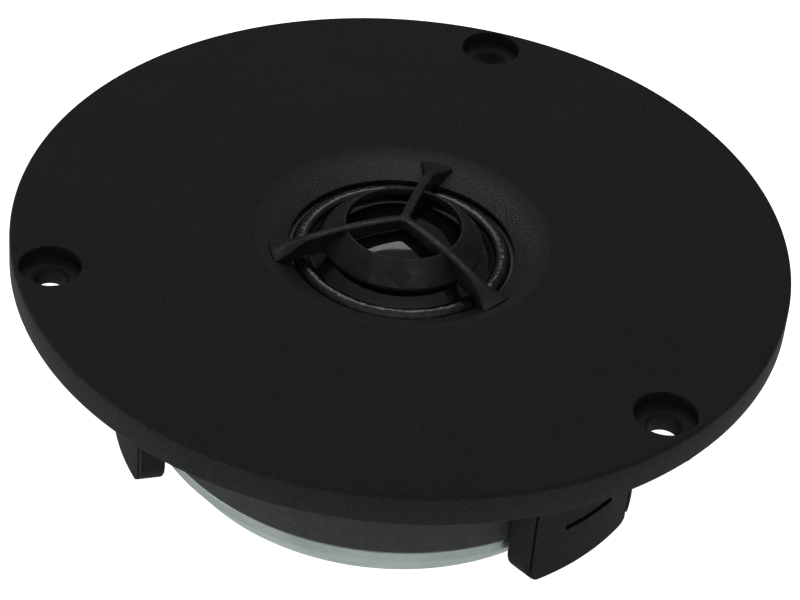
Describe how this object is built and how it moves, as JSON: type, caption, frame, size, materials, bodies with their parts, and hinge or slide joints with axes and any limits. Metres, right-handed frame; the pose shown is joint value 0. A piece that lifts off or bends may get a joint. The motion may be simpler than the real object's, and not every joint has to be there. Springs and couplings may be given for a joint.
{
  "type": "car tweeter",
  "caption": "Round flush-mount dome tweeter with a black face plate, horn mouth, phase plug and ferrite motor held by snap legs.",
  "frame": {"origin": "centre of the back plate's rear face, the lowest face of the part", "axes": "+Z along the dome's axis towards the listener, +Y towards one of the mounting screw holes"},
  "size_m": [0.104, 0.104, 0.0349],
  "materials": {
    "faceplate_plastic": "matte",
    "plug_plastic": "gloss",
    "foam": "matte",
    "carrier_plastic": "satin",
    "surround_film": "gloss",
    "dome_film": "gloss",
    "former_metal": "satin",
    "copper_wire": "gloss",
    "solder": "satin",
    "tinned_metal": "satin",
    "screw_steel": "satin",
    "plated_steel": "satin",
    "adhesive": "gloss",
    "ferrite": "matte",
    "copper_sheet": "satin",
    "felt": "matte"
  },
  "bodies": {
    "housing": {"faceplate": "faceplate_plastic", "phase_plug": "plug_plastic", "foam_gasket": "foam", "diaphragm_carrier": "carrier_plastic", "positive_lead": "copper_wire", "negative_lead": "copper_wire", "solder_joints": "solder", "terminal_block": "carrier_plastic", "positive_terminal": "tinned_metal", "negative_terminal": "tinned_metal", "terminal_screws": "screw_steel", "top_plate": "plated_steel", "front_adhesive": "adhesive", "magnet": "ferrite", "rear_adhesive": "adhesive", "back_plate": "plated_steel", "pole_piece": "plated_steel", "copper_cap": "copper_sheet", "pole_felt": "felt"},
    "diaphragm": {"dome": "dome_film", "surround": "surround_film", "voice_coil_former": "former_metal", "voice_coil": "copper_wire", "coil_tails": "copper_wire"}
  },
  "joints": [
    {"name": "dome_travel", "type": "slide", "parent": "housing", "child": "diaphragm", "axis": [0, 0, 1], "range_m": [-0.0003, 0.0003], "stiffness_N_per_m": 1000, "deforming": ["surround", "coil_tails"]}
  ]
}
